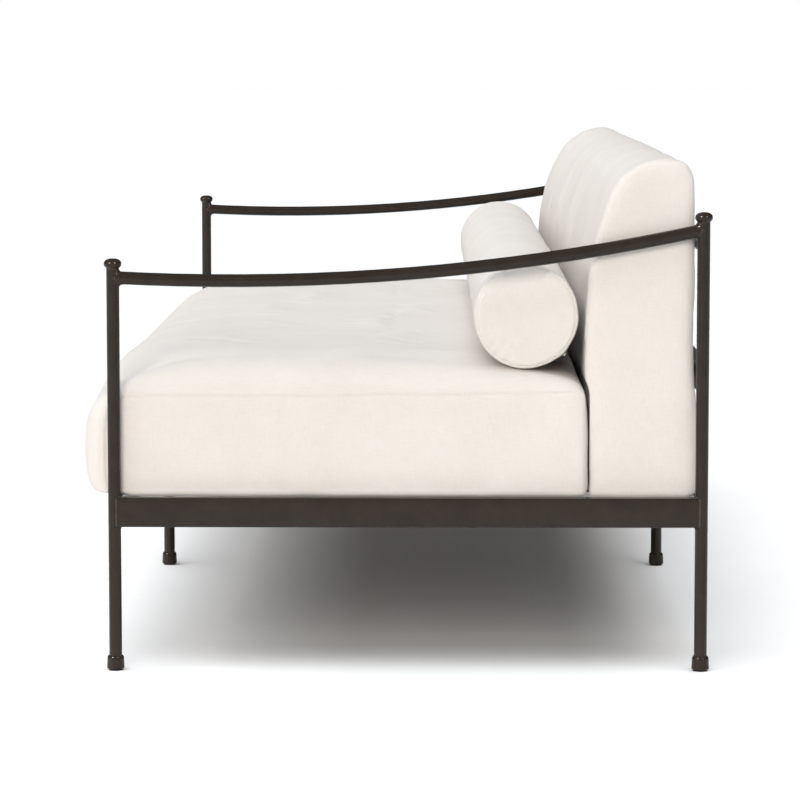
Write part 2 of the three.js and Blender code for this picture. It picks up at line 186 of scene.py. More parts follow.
def bronze_material():
    """Dark bronze powder coat, satin, with an orange-peel skin, and a painted highlight: its edges
    are painted paler, in patches.
    """
    tint = (1.0, 0.95, 0.9, 1.0)
    s = Shader("bronze_powder_coat", Specular_IOR_Level=0.26, Specular_Tint=tint)
    dark, pale, painted_edge_highlight = (0.0108, 0.0076, 0.0058), (0.0150, 0.0108, 0.0083), (0.075, 0.058, 0.044)
    base = s.ramp(s.noise(40.0, 5.0, 0.6), [(0.3, dark), (0.7, pale)])
    # Painted highlight: at the edges, where the rounded normal parts from the true one, the colour
    # is mixed towards a paler one in noisy patches.
    rounded = s.add("ShaderNodeBevel", {"samples": 4}, Radius=1.2 * MM).outputs[0]
    unrounded = s.add("ShaderNodeNewGeometry").outputs["Normal"]
    agree = s.add("ShaderNodeVectorMath", {"operation": "DOT_PRODUCT"})
    s.set(agree.inputs[0], rounded)
    s.set(agree.inputs[1], unrounded)
    edge = s.ramp(agree.outputs["Value"], [(0.90, 1.0), (0.985, 0.0)])
    # The mask of the painted edge highlight, broken into patches by noise.
    painted_highlight_patches = s.math("MULTIPLY", edge, s.noise(120.0, 3.0, 0.6))
    mix = s.add("ShaderNodeMix", {"data_type": "RGBA"})
    colour_a, colour_b, colour_out = 6, 7, 2  # the places of the Mix node's colour sockets
    s.set(mix.inputs["Factor"], painted_highlight_patches)
    s.set(mix.inputs[colour_a], base)
    s.set(mix.inputs[colour_b], (*painted_edge_highlight, 1))
    roughness = s.ramp(s.noise(25.0, 4.0, 0.6), [(0.3, 0.17), (0.7, 0.25)])
    height = s.noise(420.0, 2.0, 0.5)
    return s.finish(mix.outputs[colour_out], roughness, height, 0.04 * MM)


def nylon_material():
    """Dark moulded nylon, matt, with a fine grain."""
    s = Shader("glide_nylon", Specular_IOR_Level=0.4)
    colour = s.ramp(s.noise(60.0), [(0.3, (0.010, 0.010, 0.010)), (0.7, (0.018, 0.017, 0.016))])
    roughness = s.ramp(s.noise(200.0), [(0.3, 0.5), (0.7, 0.68)])
    return s.finish(colour, roughness, s.noise(1500.0), 0.04 * MM)


def tape_material():
    """Woven zip tape: fine cross ribs, a shade darker than the linen."""
    s = Shader("zip_tape", Specular_IOR_Level=0.3, Sheen_Weight=0.1)
    ribs = s.bands("X", 0.8 * MM, 0.3)
    colour = s.ramp(s.noise(300.0), [(0.3, (0.62, 0.58, 0.50)), (0.7, (0.70, 0.66, 0.58))])
    roughness = s.ramp(ribs, [(0.2, 0.75), (0.8, 0.9)])
    return s.finish(colour, roughness, ribs, 0.12 * MM)


def slider_material():
    """Cream enamel on a cast slider, glossier and a little chipped into tone."""
    s = Shader("zip_slider_enamel", Specular_IOR_Level=0.5, Coat_Weight=0.3, Coat_Roughness=0.15)
    colour = s.ramp(s.noise(400.0), [(0.35, (0.66, 0.62, 0.55)), (0.6, (0.78, 0.74, 0.67))])
    roughness = s.ramp(s.noise(500.0), [(0.3, 0.25), (0.7, 0.4)])
    return s.finish(colour, roughness, s.noise(800.0), 0.03 * MM)


LINEN = linen_material()
BRONZE = bronze_material()
NYLON = nylon_material()
TAPE = tape_material()
SLIDER = slider_material()

# ---- mesh helpers ----


def piece(name, mesh, material, body, stands_for=()):
    """Links a finished mesh as a piece of the daybed."""
    obj = bpy.data.objects.new(name, mesh)
    bpy.context.scene.collection.objects.link(obj)
    mesh.materials.clear()
    mesh.materials.append(material)
    mesh.shade_smooth()
    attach(obj, body)
    if stands_for:
        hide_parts(*stands_for)
    return obj


def mesh_of(name, points, faces):
    """A mesh from its points and its faces, which are rows of point numbers."""
    mesh = bpy.data.meshes.new(name)
    mesh.from_pydata([tuple(p) for p in points], [], [tuple(f) for f in faces])
    mesh.validate()
    return mesh


def coordinates(mesh):
    co = np.empty(len(mesh.vertices) * 3)
    mesh.vertices.foreach_get("co", co)
    return co.reshape(-1, 3)


def move_to(mesh, co):
    mesh.vertices.foreach_set("co", co.ravel())
    mesh.update()


def normals_of(mesh):
    normals = np.empty(len(mesh.vertices) * 3)
    mesh.vertices.foreach_get("normal", normals)
    return normals.reshape(-1, 3)


def baked(obj):
    """The object's mesh with its modifiers applied, as a new mesh."""
    evaluated = obj.evaluated_get(bpy.context.evaluated_depsgraph_get())
    return bpy.data.meshes.new_from_object(evaluated)


def skin(rings, closed_row=False):
    """Quads between rings of equal length, and from the last ring to the first if closed_row."""
    rows = len(rings)
    count = len(rings[0])
    faces = []
    for i in range(rows if closed_row else rows - 1):
        here, following = i * count, (i + 1) % rows * count
        for j in range(count):
            k = (j + 1) % count
            faces.append((here + j, here + k, following + k, following + j))
    return faces


def flat(rings):
    return [point for ring in rings for point in ring]


def capped(rings):
    """The points and faces of a closed shape: quads between the rings, and a face at each end."""
    points = flat(rings)
    count = len(rings[0])
    faces = skin(rings)
    faces.append(tuple(range(count))[::-1])
    faces.append(tuple(range(len(points) - count, len(points))))
    return points, faces


def joined(parts):
    """Several pairs of points and faces as one pair."""
    points, faces = [], []
    for more_points, more_faces in parts:
        faces.extend(tuple(i + len(points) for i in face) for face in more_faces)
        points.extend(more_points)
    return points, faces


def loop_through(anchors, steps):
    """A closed smooth curve through the anchors, with equal steps between each pair."""
    p = np.array(anchors, float)
    before, after, beyond = np.roll(p, 1, 0), np.roll(p, -1, 0), np.roll(p, -2, 0)
    t = (np.arange(steps) / steps)[:, None, None]
    curve = 2 * p + (after - before) * t + (2 * before - 5 * p + 4 * after - beyond) * t**2
    curve = curve + (3 * p - before - 3 * after + beyond) * t**3
    return (curve / 2).transpose(1, 0, 2).reshape(-1, 2)


def curve_through(anchors, steps):
    """An open smooth curve through the anchors."""
    first = 2 * np.array(anchors[0]) - anchors[1]
    last = 2 * np.array(anchors[-1]) - anchors[-2]
    guides = [first, *map(np.array, anchors), last]
    points = []
    for a, b, c, d in zip(guides, guides[1:], guides[2:], guides[3:]):
        for i in range(steps):
            t = i / steps
            value = 2 * b + (c - a) * t + (2 * a - 5 * b + 4 * c - d) * t**2
            points.append((value + (3 * b - a - 3 * c + d) * t**3) / 2)
    points.append(np.array(anchors[-1], float))
    return np.array(points)


# ---- metal frame ----

TURNED_SIDES = 64
PROFILE_STEPS = 5  # between two points of a turned profile
FILLET_SIDES = 48
FINIAL_RISE, RIM_FULLER = 1.5, 0.5  # how far the turned pieces stand past the CAD ones, in mm
ARM_JOINTS = {"front": 580.5 * MM, "rear": 650.5 * MM}  # where the arm rails meet the posts
ARM_FALLS = {"front": 0.0527, "rear": 0.218}  # and how steeply they leave them, downwards
UNDER_WELD, TOP_WELD = 5 * MM, 2.5 * MM  # how far a weld reaches under a flat rail, and on top


def turned(name, profile, base, material, body, stands_for):
    """A piece turned about a vertical axis through base; profile is (radius, height) in metres."""
    angles = np.arange(TURNED_SIDES) * math.tau / TURNED_SIDES
    rings = [
        [(base.x + r * math.cos(a), base.y + r * math.sin(a), base.z + z) for a in angles]
        for r, z in profile
    ]
    mesh = mesh_of(name, flat(rings), skin(rings, closed_row=True))
    return piece(name, mesh, material, body, stands_for)


def finial(post):
    """A button finial: a neck that flares to a rounded rim under a low dome, on its spigot."""
    node = f"finial_{post}"
    top = high(node)
    neck = high(f"post_{post}").z
    rise = (top.z - neck) / MM + FINIAL_RISE
    rim = (top.x - low(node).x) / 2 / MM + RIM_FULLER
    bar = BAR_RADIUS / MM
    flare = [
        (bar - 0.15, 0.1), (bar - 0.05, 0.9), (bar + 0.85, 2.2), (rim - 0.75, 4.4), (rim, 7.2),
    ]
    dome = [
        (rim - 0.35, 9.6), (rim - 1.7, 12.0), (rim - 4.4, 14.0), (4.4, rise - 0.25), (0.05, rise),
    ]
    spigot = [(0.05, -13.0), (7.6, -13.0), (7.6, 0.1)]
    profile = np.vstack([spigot, curve_through(flare + dome, PROFILE_STEPS)]) * MM
    base = Vector((centre(node).x, centre(node).y, neck))
    turned(f"button_{node}", profile, base, BRONZE, "frame", [node])


def foot(place):
    """A turned foot: a domed shoulder, sides that flare a little, and a chamfered base."""
    node = f"foot_{place}"
    rim = (high(node).x - low(node).x) / 2 / MM + RIM_FULLER
    top = high(node).z / MM
    bottom = low(node).z / MM
    bore = BAR_RADIUS / MM + 0.15
    shoulder = [
        (bore, top + 0.2), (bore + 1.2, top - 0.25), (rim - 1.0, top - 2.6),
        (rim - 0.55, top - 7.0),
    ]
    side = [
        (rim - 0.35, bottom + 7.5), (rim, bottom + 2.6), (rim - 0.45, bottom + 1.0),
        (rim - 1.8, bottom),
    ]
    inside = [(4.6, bottom), (4.6, bottom + 3), (bore, bottom + 3)]
    profile = np.vstack([curve_through(shoulder + side, PROFILE_STEPS), inside]) * MM
    base = Vector((centre(node).x, centre(node).y, 0))
    turned(f"turned_{node}", profile, base, BRONZE, "frame", [node])


def finish_cad_node(name, material):
    """Paints a CAD node and smooths its shading, with crisp edges where faces meet at a corner."""
    obj = frame["nodes"][name]
    obj.data.materials.clear()
    obj.data.materials.append(material)
    obj.data.shade_smooth()
    weld = obj.modifiers.new("weld", "WELD")
    weld.merge_threshold = 0.01 * MM
    crisp = obj.modifiers.new("crisp edges", "EDGE_SPLIT")
    crisp.split_angle = math.radians(50)


def tube_fillet(post_centre, start, along, reach_below, reach_above):
    """The ground weld where a round rail meets a post: points and faces of a closed ring.

    start is where the rail's axis meets the post's, along is the rail's direction, and the weld
    runs out along the rail by reach_below at its underside and reach_above on top."""
    side = along.cross(Vector((0, 0, 1))).normalized()
    upward = side.cross(along).normalized()
    steps = 6
    rings = []
    for i in range(FILLET_SIDES):
        angle = math.tau * i / FILLET_SIDES
        height = math.sin(angle)
        reach = reach_below + (reach_above - reach_below) * (height + 1) / 2
        radial = side * math.cos(angle) + upward * height
        sideways = BAR_RADIUS * math.cos(angle)
        contact = math.sqrt(max(BAR_RADIUS**2 - sideways**2, 0))
        lift = abs(height) ** 0.7
        corner = start + along * contact + radial * BAR_RADIUS
        on_rail = corner + along * (reach * lift + 0.4 * MM) + radial * 0.02 * MM
        grown = (BAR_RADIUS + reach * lift + 0.3 * MM) * math.cos(angle)
        grown = max(-BAR_RADIUS, min(BAR_RADIUS, grown))
        post_side = math.sqrt(max(BAR_RADIUS**2 - grown**2, 0)) + 0.02 * MM
        rise = (BAR_RADIUS + reach * lift + 0.3 * MM) * height
        ahead = Vector((along.x, along.y, 0)).normalized()
        on_post = Vector((post_centre.x, post_centre.y, start.z + rise))
        on_post = on_post + side * grown + ahead * post_side
        inner = start + along * max(contact - 1.5 * MM, 0) + radial * (BAR_RADIUS - 1.5 * MM)
        ring = [inner]
        for k in range(steps + 1):
            t = k / steps
            ring.append(on_rail * (1 - t) ** 2 + corner * 2 * t * (1 - t) + on_post * t**2)
        rings.append(ring)
    return flat(rings), skin(rings, closed_row=True)


def plate_fillet(axis, along, surface_z, upward, reach):
    """The weld between a post and the flat top or underside of a rail: a closed strip."""
    side = Vector((-along.y, along.x, 0))
    steps = 5
    slices = 10
    half = BAR_RADIUS - 1.2 * MM
    rings = []
    for i in range(slices + 1):
        offset = half * (2 * i / slices - 1)
        contact = math.sqrt(BAR_RADIUS**2 - offset**2)
        fade = math.sqrt(max(1 - (offset / (half * 1.03)) ** 2, 0)) ** 0.5
        size = reach * fade
        corner = Vector((axis.x, axis.y, surface_z)) + side * offset + along * contact
        on_post = corner + Vector((0, 0, upward * size))
        on_rail = corner + along * size
        inner = corner - along * 1.0 * MM - Vector((0, 0, upward * 1.0 * MM))
        ring = [inner]
        for k in range(steps + 1):
            t = k / steps
            ring.append(on_post * (1 - t) ** 2 + corner * 2 * t * (1 - t) + on_rail * t**2)
        rings.append(ring)
    faces = skin(rings)
    count = len(rings[0])
    faces.append(tuple(range(count)))
    faces.append(tuple(range(slices * count, (slices + 1) * count))[::-1])
    return flat(rings), faces


def frame_welds():
    """Every visible weld of the frame, as one piece."""
    welds = []
    for side, inward in (("left", 1), ("right", -1)):
        for place, along_y in (("front", 1), ("rear", -1)):
            post = centre(f"post_{place}_{side}")
            start = Vector((post.x, post.y, ARM_JOINTS[place]))
            arm = Vector((0, along_y, -ARM_FALLS[place])).normalized()
            rail = Vector((0, along_y, 0))
            welds.append(tube_fillet(post, start, arm, reach_below=7 * MM, reach_above=3 * MM))
            welds.append(plate_fillet(post, rail, RAIL_BOTTOM, -1, UNDER_WELD))
            welds.append(plate_fillet(post, rail, RAIL_TOP, 1, TOP_WELD))
            welds.append(plate_fillet(post, Vector((inward, 0, 0)), RAIL_BOTTOM, -1, UNDER_WELD))
    for place in LEGS:
        leg = centre(f"mid_leg_{place}")
        for way in (-1, 1):
            welds.append(plate_fillet(leg, Vector((way, 0, 0)), RAIL_BOTTOM, -1, UNDER_WELD))
    piece("frame_welds", mesh_of("frame_welds", *joined(welds)), BRONZE, "frame")


# ---- cushions ----


class Cushion:
    """A sewn cushion along X: one wrap of linen round the filling and a panel at each end.

    sections are pairs of a place along X and the full section there, and panel is the outline of
    its end panels, as matching anchors of (depth, height) in millimetres from the posts' mid line
    and the floor. The section grows out from the panel over reach times how far it stands past it.
    The crown falls by sink towards both ends."""

    def __init__(self, name, sections, panel, end, voxel, reach, sink):
        self.name = name
        self.end = end
        self.voxel = voxel
        self.sections = [(x, self.placed(anchors)) for x, anchors in sections]
        self.panel = self.placed(panel)
        self.reach = reach
        self.sink = sink
        self.object = self.blank()

    def placed(self, anchors):
        loop = loop_through(anchors, SECTION_STEPS) * MM
        loop[:, 0] += MID_Y
        return loop

    def section(self, x):
        """The outline at x: it grows from the end panel's to the full one as a quarter round."""
        inset = self.end - abs(x)
        full = self.sections[0][1].copy()
        for (start, before), (stop, after) in zip(self.sections, self.sections[1:]):
            share = min(max((x - start) / (stop - start), 0), 1)
            full += (after - before) * share**2 * (3 - 2 * share)
        crown = np.clip((full[:, 1] - self.panel[:, 1]) / (45 * MM), 0, 1)
        full[:, 1] -= self.sink * crown * (abs(x) / self.end) ** 3
        lift = np.linalg.norm(full - self.panel, axis=1)[:, None]
        shoulder = smooth_step((SHOULDER_START - (full[:, 0:1] - MID_Y)) / (60 * MM))
        reach = np.clip(lift * self.reach, 12 * MM, 80 * MM) * (1 + 0.4 * shoulder)
        ease = np.sqrt(1 - (1 - np.clip(inset / reach, 0, 1)) ** 2)
        return self.panel + (full - self.panel) * ease

    def seams(self):
        """Points along the seams, evenly spaced, each with how far along the seam it lies."""
        loop = np.vstack([self.panel, self.panel[:1]])
        lengths = np.linalg.norm(np.diff(loop, axis=0), axis=1)
        along = np.concatenate([[0], np.cumsum(lengths)])
        even = np.arange(0, along[-1], 0.6 * MM)
        y = np.interp(even, along, loop[:, 0])
        z = np.interp(even, along, loop[:, 1])
        ends = [np.full_like(y, sign * self.end) for sign in (-1, 1)]
        return [(np.column_stack([x, y, z]), even) for x in ends]

    def blank(self):
        """The cushion's smooth shape as one closed mesh of even squares."""
        close = [0, 0.3, 1, 2.5, 5, 9, 14, 20, 28, 38, 50, 65]
        insets = np.concatenate([close, np.arange(80, 1000, 60)]) * MM
        stations = [-self.end + i for i in insets] + [0] + [self.end - i for i in insets[::-1]]
        rings = [[(x, y, z) for y, z in self.section(x)] for x in stations]
        obj = bpy.data.objects.new(self.name, mesh_of(self.name, *capped(rings)))
        form = bpy.data.objects.new("form", obj.data)
        for each in (obj, form):
            bpy.context.scene.collection.objects.link(each)
        remesh = obj.modifiers.new("even squares", "REMESH")
        remesh.mode = "VOXEL"
        remesh.voxel_size = self.voxel
        wrap = obj.modifiers.new("back onto the form", "SHRINKWRAP")
        wrap.target = form
        obj.data = baked(obj)
        obj.modifiers.clear()
        bpy.data.objects.remove(form)
        rest = obj.data.attributes.new("rest", "FLOAT_VECTOR", "POINT")
        rest.data.foreach_set("vector", coordinates(obj.data).ravel())
        return obj

    def add_cloth(self, pressure, stretch, hold):
        """Cloth over a filling: the fabric is a little bigger than the filling, which holds it."""
        co = coordinates(self.object.data)
        group = self.object.vertex_groups.new(name="filling")
        grip = hold * (0.55 + 0.9 * smooth_noise(co, 0.16, 3))
        for i, weight in enumerate(np.clip(grip, 0.02, 1)):
            group.add([i], float(weight), "REPLACE")
        cloth = self.object.modifiers.new("cloth", "CLOTH")
        settings = cloth.settings
        settings.quality = 4
        settings.mass = 0.25
        settings.tension_stiffness = 12
        settings.compression_stiffness = 12
        settings.shear_stiffness = 6
        settings.bending_stiffness = 0.6
        settings.use_pressure = True
        settings.uniform_pressure_force = pressure
        settings.shrink_min = stretch
        settings.vertex_group_mass = "filling"
        settings.pin_stiffness = 1.0
        settings.effector_weights.gravity = 0
        cloth.collision_settings.use_collision = False
        cloth.point_cache.frame_start = 1
        cloth.point_cache.frame_end = CLOTH_FRAMES

    def apply_cloth(self, cap):
        """Keeps what the cloth did as plain mesh, and no vertex moves by more than the cap."""
        start = coordinates(self.object.data)
        moved = coordinates(baked(self.object)) - start
        length = np.linalg.norm(moved, axis=1)[:, None]
        limit = cap * np.tanh(length / cap) / np.maximum(length, 1e-9)
        self.object.modifiers.clear()
        self.object.vertex_groups.clear()
        move_to(self.object.data, start + moved * limit)

    def refine(self):
        """One subdivision overall, then finer squares along the seams."""
        smooth = self.object.modifiers.new("smooth", "SUBSURF")
        smooth.levels = 1
        self.object.data = baked(self.object)
        self.object.modifiers.clear()
        for band in (9 * MM, 6 * MM):
            distance, _ = self.seam_distance()
            work = bmesh.new()
            work.from_mesh(self.object.data)
            work.verts.ensure_lookup_table()
            near = [e for e in work.edges if all(distance[v.index] < band for v in e.verts)]
            bmesh.ops.subdivide_edges(work, edges=near, cuts=1, use_grid_fill=True)
            work.to_mesh(self.object.data)
            work.free()

    def rest_positions(self):
        values = np.empty(len(self.object.data.vertices) * 3)
        self.object.data.attributes["rest"].data.foreach_get("vector", values)
        return values.reshape(-1, 3)

    def seam_distance(self):
        """Each vertex's distance from the nearest seam, and how far along that seam it is."""
        rest = self.rest_positions()
        distance = np.full(len(rest), 1.0)
        along = np.zeros(len(rest))
        for points, lengths in self.seams():
            tree = kdtree.KDTree(len(points))
            for i, p in enumerate(points):
                tree.insert(p, i)
            tree.balance()
            near = np.nonzero(np.abs(rest[:, 0] - points[0, 0]) < 60 * MM)[0]
            for i in near:
                _, index, gap = tree.find(rest[i])
                if gap < distance[i]:
                    distance[i] = gap
                    along[i] = lengths[index]
        return distance, along

    def sew(self, depth, width, pucker, spread):
        """Draws the seams in as fine grooves, with small gathers that fade away from them."""
        distance, along = self.seam_distance()
        mesh = self.object.data
        groove = depth * np.exp(-((distance / width) ** 2))
        phase = along / (17 * MM) + 2.2 * np.sin(along / (61 * MM))
        phase = phase + 1.3 * np.sin(along / (37 * MM) + 1)
        strength = 0.5 + 0.5 * np.sin(along / (143 * MM) + 0.7)
        gather = pucker * strength * np.sin(phase) * np.exp(-distance / spread)
        move_to(mesh, coordinates(mesh) - normals_of(mesh) * (groove + gather)[:, None])

    def crease(self, start, end, depth, width):
        """A soft valley between two points of the surface, deepest at its start."""
        mesh = self.object.data
        co = coordinates(mesh)
        start, end = np.array(start), np.array(end)
        axis = end - start
        share = np.clip((co - start) @ axis / (axis @ axis), 0, 1)
        gap = np.linalg.norm(co - start - share[:, None] * axis, axis=1)
        fall = depth * (1 - share) ** 0.8 * np.exp(-((gap / width) ** 2))
        move_to(mesh, co - normals_of(mesh) * fall[:, None])

    def reshape(self, function):
        """Moves the vertices to where the function puts them, such as clear of what is below."""
        mesh = self.object.data
        move_to(mesh, function(coordinates(mesh)))

    def place(self, body, fill):
        """Hands the finished cushion over as a piece of the daybed, in linen and on its body."""
        obj = self.object
        if "rest" in obj.data.attributes:
            obj.data.attributes.remove(obj.data.attributes["rest"])
        obj.data.materials.clear()
        obj.data.materials.append(LINEN)
        obj.data.shade_smooth()
        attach(obj, body)


def smooth_step(value):
    t = np.clip(value, 0, 1)
    return t * t * (3 - 2 * t)


def smooth_noise(co, scale, seed):
    """A gentle wave pattern from 0 to 1 over space, with features about scale metres across."""
    waves = np.random.default_rng(seed)
    total = np.zeros(len(co))
    for _ in range(9):
        direction = waves.normal(size=3)
        direction /= np.linalg.norm(direction)
        wavelength = scale * waves.uniform(0.7, 1.8)
        total += np.sin(co @ direction * math.tau / wavelength + waves.uniform(0, math.tau))
    return 0.5 + total / 9


SHOULDER_START = -380 * MM  # in front of this a cushion's end is rounded over a longer way
SECTION_STEPS = 12  # between two anchors of a section
CLOTH_FRAMES = 20
CLOTH_CAP = 12 * MM  # the furthest that the cloth may move
DECK_GAP, DECK_SAG = 0.3 * MM, 3 * MM  # above the slats, and below their tops between them
ZIP_ROOM = 5 * MM  # how far the zip's edge is lifted off the deck

# Matching anchors of each section, front to rear along the bottom and back over the top. The
# seat is a little fuller at its right-hand end, and both ends of a cushion have a flat panel.
SEAT_BASE = [
    (-452, 246), (-270, 245), (-100, 245), (80, 245), (256, 246), (265, 254), (265.5, 305),
    (265.5, 350),
]
SEAT_RIGHT = SEAT_BASE + [
    (263, 390), (256.5, 417), (230, 437), (165, 450), (60, 460), (-60, 468), (-170, 471),
    (-270, 471), (-350, 468), (-413, 454), (-454, 428), (-474, 392), (-477, 335), (-475, 285),
    (-466, 253),
]
SEAT_CORNER = [(-446, 247)] + SEAT_BASE[1:] + [
    (263, 390), (256.5, 417), (230, 437), (165, 450), (60, 460), (-60, 467), (-170, 468),
    (-270, 467), (-345, 459), (-404, 437), (-446, 411), (-472, 380), (-480, 335), (-478, 285),
    (-466, 253),
]
SEAT_MIDDLE = SEAT_BASE + [
    (263, 390), (256.5, 417), (230, 436), (165, 449), (60, 459), (-60, 467), (-170, 470),
    (-270, 469), (-350, 462), (-413, 446), (-454, 418), (-472, 382), (-476, 333), (-474, 284),
    (-465, 253),
]
SEAT_LEFT = SEAT_BASE + [
    (265, 388), (259, 413), (230, 436), (165, 444), (60, 450), (-60, 456), (-170, 460),
    (-270, 460), (-345, 457), (-406, 441), (-444, 412), (-466, 368), (-473, 325), (-472, 283),
    (-463, 253),
]
SEAT_PANEL = [
    (-430, 247), (-270, 246), (-100, 246), (80, 246), (254, 247), (263, 255), (264.5, 305),
    (264, 350), (262, 390), (255.5, 413), (230, 410.5), (165, 409), (60, 407), (-60, 406),
    (-170, 405), (-270, 405), (-345, 405.5), (-392, 404.5), (-425, 400), (-440, 383),
    (-444, 335), (-443, 287), (-439, 254),
]
BACK_BASE = [
    (274, 246), (320, 245), (360, 245), (414, 246), (426, 254), (428, 330), (424, 396),
    (419, 480),
]
BACK_RIGHT = BACK_BASE + [
    (419, 560), (419, 640), (419, 700), (416, 731), (402, 748), (373, 752.5), (338, 743),
    (305, 717), (283, 664), (269, 606), (264, 548), (261, 480), (261, 415), (266, 340),
    (268, 285), (268, 254),
]
BACK_LEFT = BACK_BASE + [
    (419, 560), (419, 640), (419, 698), (415, 727), (401, 744), (373, 748.5), (338, 739),
    (304, 713), (275, 661), (258, 604), (251, 548), (250, 480), (255, 415), (264, 340),
    (267, 285), (267, 254),
]
BACK_PANEL = [
    (277, 247), (320, 246), (360, 246), (410, 247), (422, 256), (423, 330), (419, 400),
    (415, 480), (415, 560), (415, 640), (414, 695), (410, 724), (396, 741), (372, 745),
    (343, 735), (316, 709), (291, 660), (277, 604), (272, 548), (270, 480), (269, 410),
    (270.5, 340), (271, 285), (270, 255),
]


def bolster_axis(x):
    """The bolster's axis in plan: its left-hand end lies a little further forward."""
    return BOLSTER_CENTRE.y - 5 * MM * smooth_step((0.3 - x) / 1.2)


def round_section(radius, x):
    """A circle's anchors about the bolster's axis at x, in millimetres."""
    y = (bolster_axis(x) - MID_Y) / MM
    z = BOLSTER_CENTRE.z / MM
    angles = np.arange(20) * math.tau / 20
    return [(y + radius * math.cos(a), z + radius * math.sin(a)) for a in angles]


# Each crease in the bolster's ends: its angle in degrees, and how far from the axis it ends.
BOLSTER_CREASES = ((222, 26), (233, 38), (246, 24), (300, 18), (65, 22), (150, 20))


def make_cushions():
    """The seat, the back and the bolster, sewn, and settled on the frame and on one another."""
    along_seat = [
        (-1.0, SEAT_LEFT), (-0.6, SEAT_MIDDLE), (0.2, SEAT_MIDDLE), (0.72, SEAT_RIGHT),
        (1.0, SEAT_CORNER),
    ]
    along_back = [(-0.9, BACK_LEFT), (0.4, BACK_RIGHT)]
    radius = BOLSTER_RADIUS / MM
    fullness = [(-0.9, 0.6), (-0.3, 0.3), (0.3, 0)]
    along_bolster = [(x, round_section(radius + 0.6 + fuller, x)) for x, fuller in fullness]
    bolster_panel = round_section(radius - 2.8, 1)
    seat = Cushion(
        "bench_seat_cushion", along_seat, SEAT_PANEL, CUSHION_END,
        voxel=15 * MM, reach=1.15, sink=11 * MM,
    )
    back = Cushion(
        "tall_back_cushion", along_back, BACK_PANEL, CUSHION_END,
        voxel=12 * MM, reach=1.3, sink=0,
    )
    bolster = Cushion(
        "round_bolster", along_bolster, bolster_panel, BOLSTER_END,
        voxel=8 * MM, reach=4.0, sink=0,
    )
    cushions = (seat, back, bolster)
    seat.add_cloth(pressure=2.5, stretch=-0.005, hold=0.35)
    back.add_cloth(pressure=2.5, stretch=-0.008, hold=0.35)
    bolster.add_cloth(pressure=2.0, stretch=-0.010, hold=0.45)
    scene = bpy.context.scene
    for number in range(1, CLOTH_FRAMES + 1):
        scene.frame_set(number)
    for cushion in cushions:
        cushion.apply_cloth(CLOTH_CAP)
    scene.frame_set(1)
    for cushion in cushions:
        cushion.refine()
    seat.sew(depth=1.7 * MM, width=1.8 * MM, pucker=0.6 * MM, spread=22 * MM)
    back.sew(depth=0.6 * MM, width=1.5 * MM, pucker=0.5 * MM, spread=20 * MM)
    bolster.sew(depth=2.0 * MM, width=1.9 * MM, pucker=0.9 * MM, spread=16 * MM)

    for sign in (-1, 1):
        for angle, length in BOLSTER_CREASES:
            turn = math.radians(angle if sign > 0 else 180 - angle)
            points = []
            for from_axis in (BOLSTER_RADIUS - 3 * MM, BOLSTER_RADIUS - length * MM):
                y = BOLSTER_CENTRE.y + from_axis * math.cos(turn)
                z = BOLSTER_CENTRE.z + from_axis * math.sin(turn)
                points.append((sign * BOLSTER_END, y, z))
            bolster.crease(*points, depth=2.2 * MM, width=4 * MM)

    contact = MID_Y + 267 * MM  # where the seat's rear meets the back's front
    bar = low("back_bar_right").z, high("back_bar_right").z
    bar_front = low("back_bar_right").y - 0.4 * MM
    end = CUSHION_END + 2.5 * MM
    supports = [n for n in frame["nodes"] if n.startswith("slat") or n == "centre_cross_rail"]
    spans = [(low(n).x, high(n).x) for n in supports]
    zips = [centre("seat_zip_tape").y, centre("back_zip_tape").y]
    zip_end = high("seat_zip_tape").x
    inside = low("rear_rail").y - 3 * MM, high("front_rail").y + 3 * MM

    def on_deck(co):
        """The cushion rests on the slats and the rails, and sags a little between them. Its rear
        edge, with the zip, stays clear of them, so that the slider can pass."""
        free = np.full(len(co), 1.0)
        for start, stop in spans:
            free = np.minimum(free, np.maximum(start - co[:, 0], co[:, 0] - stop))
        depth = np.minimum(inside[0] - co[:, 1], co[:, 1] - inside[1])
        sag = DECK_SAG * smooth_step(free / (15 * MM)) * smooth_step(depth / (10 * MM))
        aside = np.min([np.abs(co[:, 1] - y) for y in zips], axis=0)
        beside = smooth_step((zip_end + 40 * MM - np.abs(co[:, 0])) / (30 * MM))
        zipped = np.exp(-((aside / (14 * MM)) ** 2)) * beside
        deck = RAIL_TOP + DECK_GAP - sag * (1 - zipped) + ZIP_ROOM * zipped
        lowest, settled = 245 * MM, 275 * MM
        share = np.clip((co[:, 2] - lowest) / (settled - lowest), 0, 1)
        co[:, 2] = np.where(co[:, 2] < settled, deck + (settled - deck) * share, co[:, 2])
        co[:, 0] = np.clip(co[:, 0], -end, end)
        spread = 5 * MM * smooth_step((270 * MM - co[:, 2]) / (18 * MM))
        spread = spread * (co[:, 1] < contact + 180 * MM)
        near_end = smooth_step((np.abs(co[:, 0]) - end + 22 * MM) / (12 * MM))
        co[:, 0] += np.sign(co[:, 0]) * spread * near_end
        return co

    def corner_dip(co):
        """A soft fold behind the crest at each front corner."""
        across = np.exp(-(((np.abs(co[:, 0]) - CUSHION_END + 72 * MM) / (20 * MM)) ** 2))
        along = np.exp(-(((co[:, 1] - MID_Y + 430 * MM) / (90 * MM)) ** 2))
        top = smooth_step((co[:, 2] - 410 * MM) / (30 * MM))
        co[:, 2] -= 5 * MM * across * along * top
        return co

